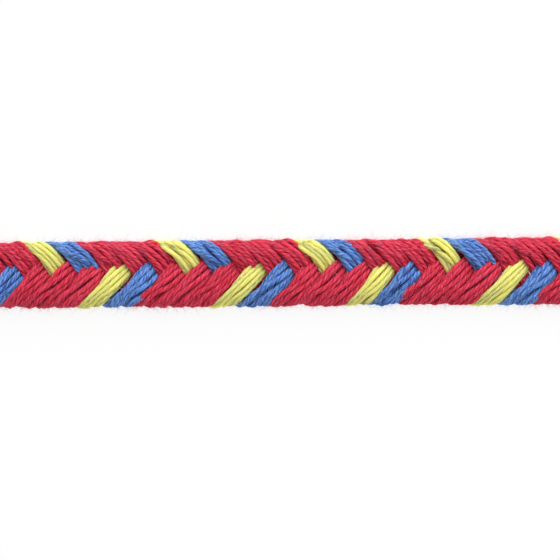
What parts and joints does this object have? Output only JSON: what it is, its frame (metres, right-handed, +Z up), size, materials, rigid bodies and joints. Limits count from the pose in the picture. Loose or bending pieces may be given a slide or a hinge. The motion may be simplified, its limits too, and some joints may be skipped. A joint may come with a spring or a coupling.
{
  "type": "braid trim",
  "caption": "Cut length of flat braid trim plaited from soft yarn strands in red, yellow and blue, with a chevron pattern",
  "frame": {"origin": "centre of the length and width, on the surface that the flat underside rests on", "axes": "+X along the braid, the way the front chevrons point; +Y across it; +Z up, out of the front"},
  "size_m": [0.1164, 0.0102, 0.0035],
  "materials": {
    "yarn_yellow": "soft plied yarn, slightly fuzzy",
    "yarn_blue": "soft plied yarn, slightly fuzzy",
    "yarn_red": "soft plied yarn, slightly fuzzy"
  },
  "bodies": {
    "root": {"strand_yellow": "yarn_yellow", "strand_blue": "yarn_blue", "strand_red_a": "yarn_red", "strand_red_b": "yarn_red", "strand_red_c": "yarn_red"}
  },
  "joints": []
}
